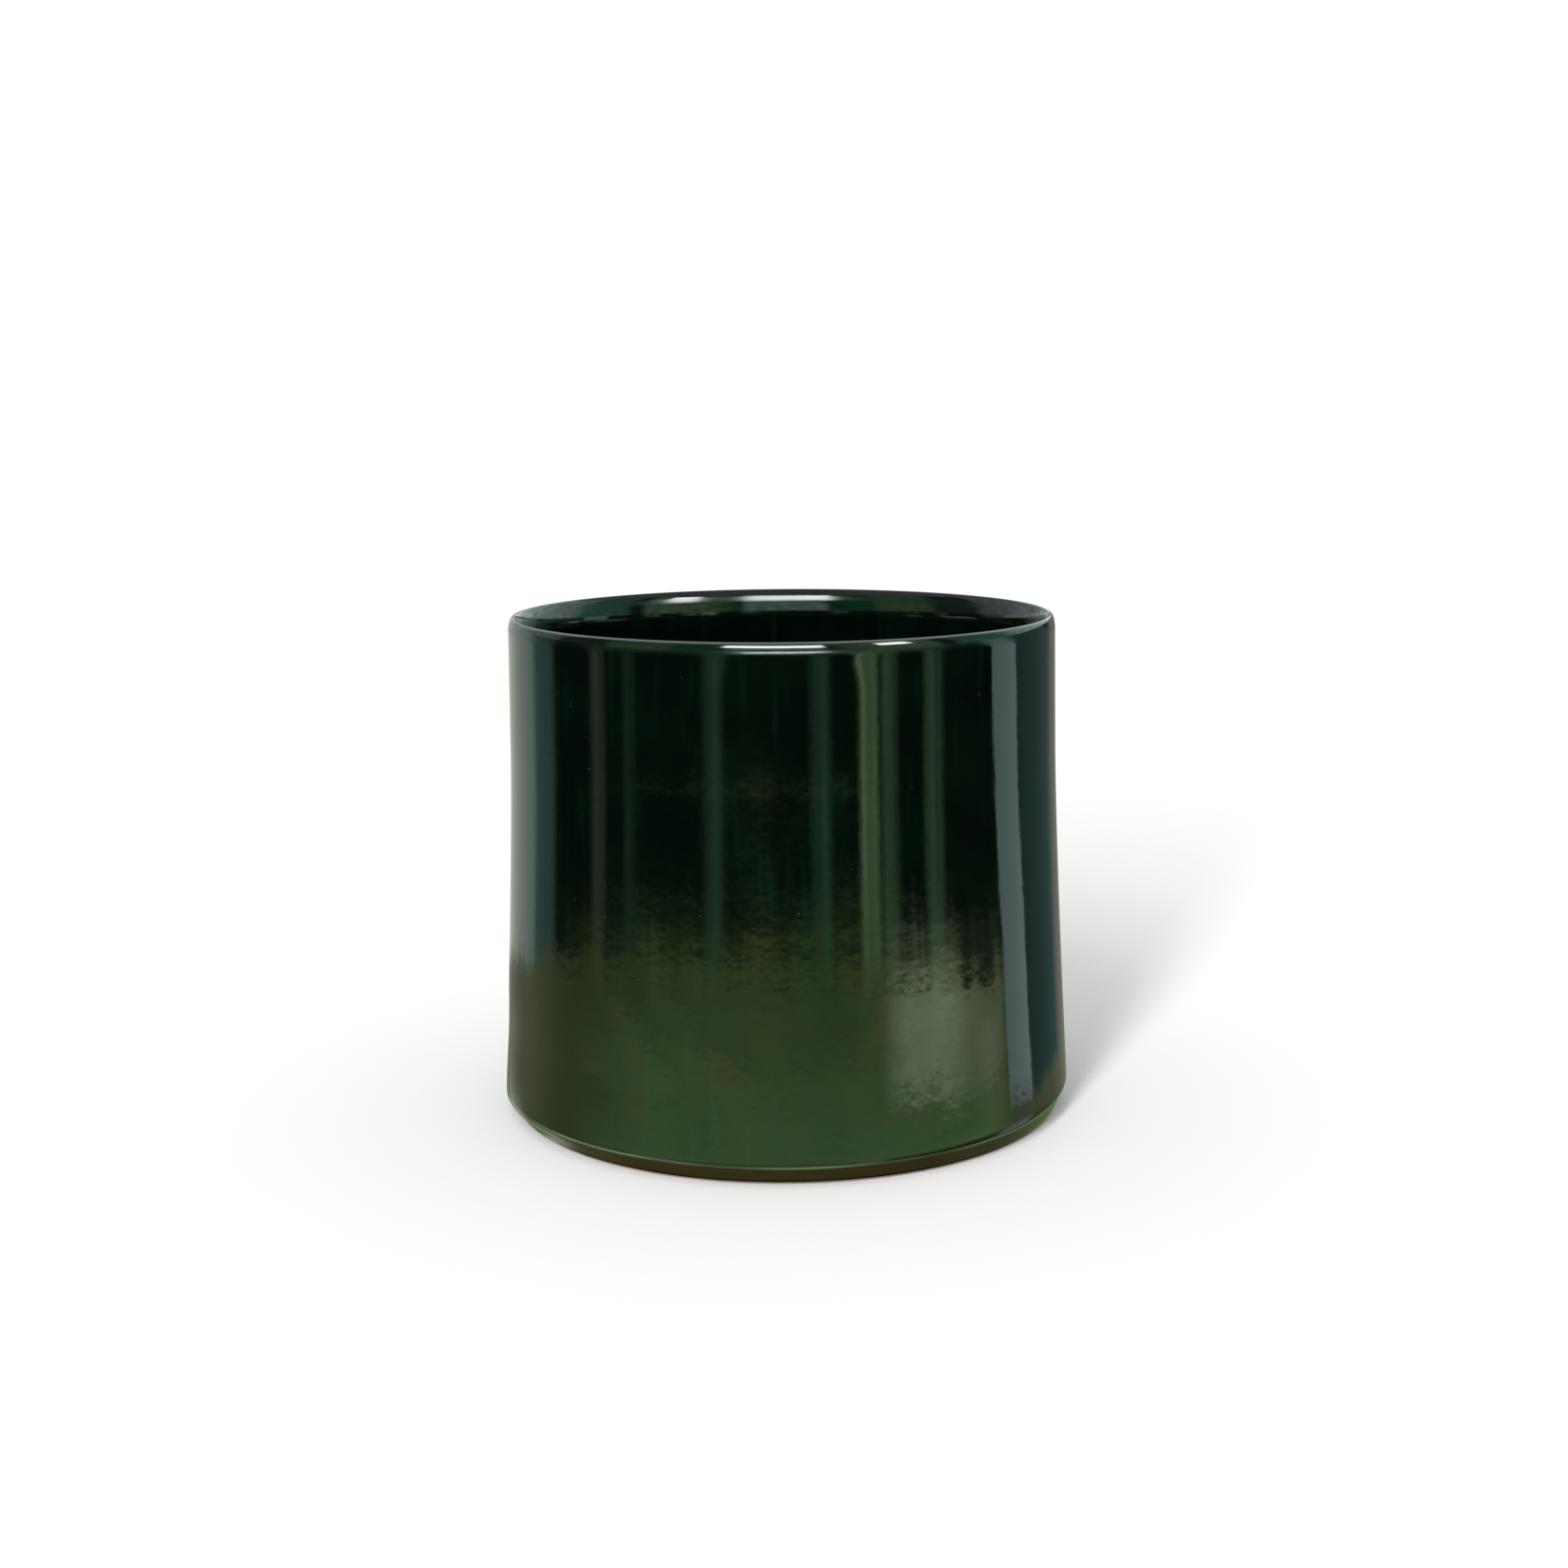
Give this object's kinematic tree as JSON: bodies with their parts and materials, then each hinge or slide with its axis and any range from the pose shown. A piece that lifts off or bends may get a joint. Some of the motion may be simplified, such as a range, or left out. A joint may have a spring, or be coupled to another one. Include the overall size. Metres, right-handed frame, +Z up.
{
  "type": "terracotta pot",
  "caption": "Straight-sided round planter in fired terracotta with a dark green gloss glaze, a soft rounded lip, a bevelled foot and a drain hole with a rubber bung.",
  "frame": {"origin": "centre of the surface that the pot stands on, on the pot's axis", "axes": "+Z up along the pot's axis; the pictured side faces -Y, with +X to its right"},
  "size_m": [0.4262, 0.4262, 0.368],
  "materials": {
    "terracotta": "bare fired earthenware, matt and slightly open, with fine grog and wipe marks",
    "green_glaze": "deep bottle-green gloss glaze, thin and paler along the crown of the lip, olive-brown on the bevel at the foot",
    "plug_rubber": "black moulded rubber, satin",
    "pad_rubber": "dark grey stick-on rubber, matt"
  },
  "bodies": {
    "pot": {"clay_body": "terracotta", "outer_glaze": "green_glaze", "inner_glaze": "green_glaze", "foot_pad_1": "pad_rubber", "foot_pad_2": "pad_rubber", "foot_pad_3": "pad_rubber", "foot_pad_4": "pad_rubber"},
    "plug": {"drain_plug": "plug_rubber"}
  },
  "joints": [
    {"name": "plug_lift", "type": "slide", "parent": "pot", "child": "plug", "axis": [0, 0, 1], "range_m": [0, 0.38]}
  ]
}
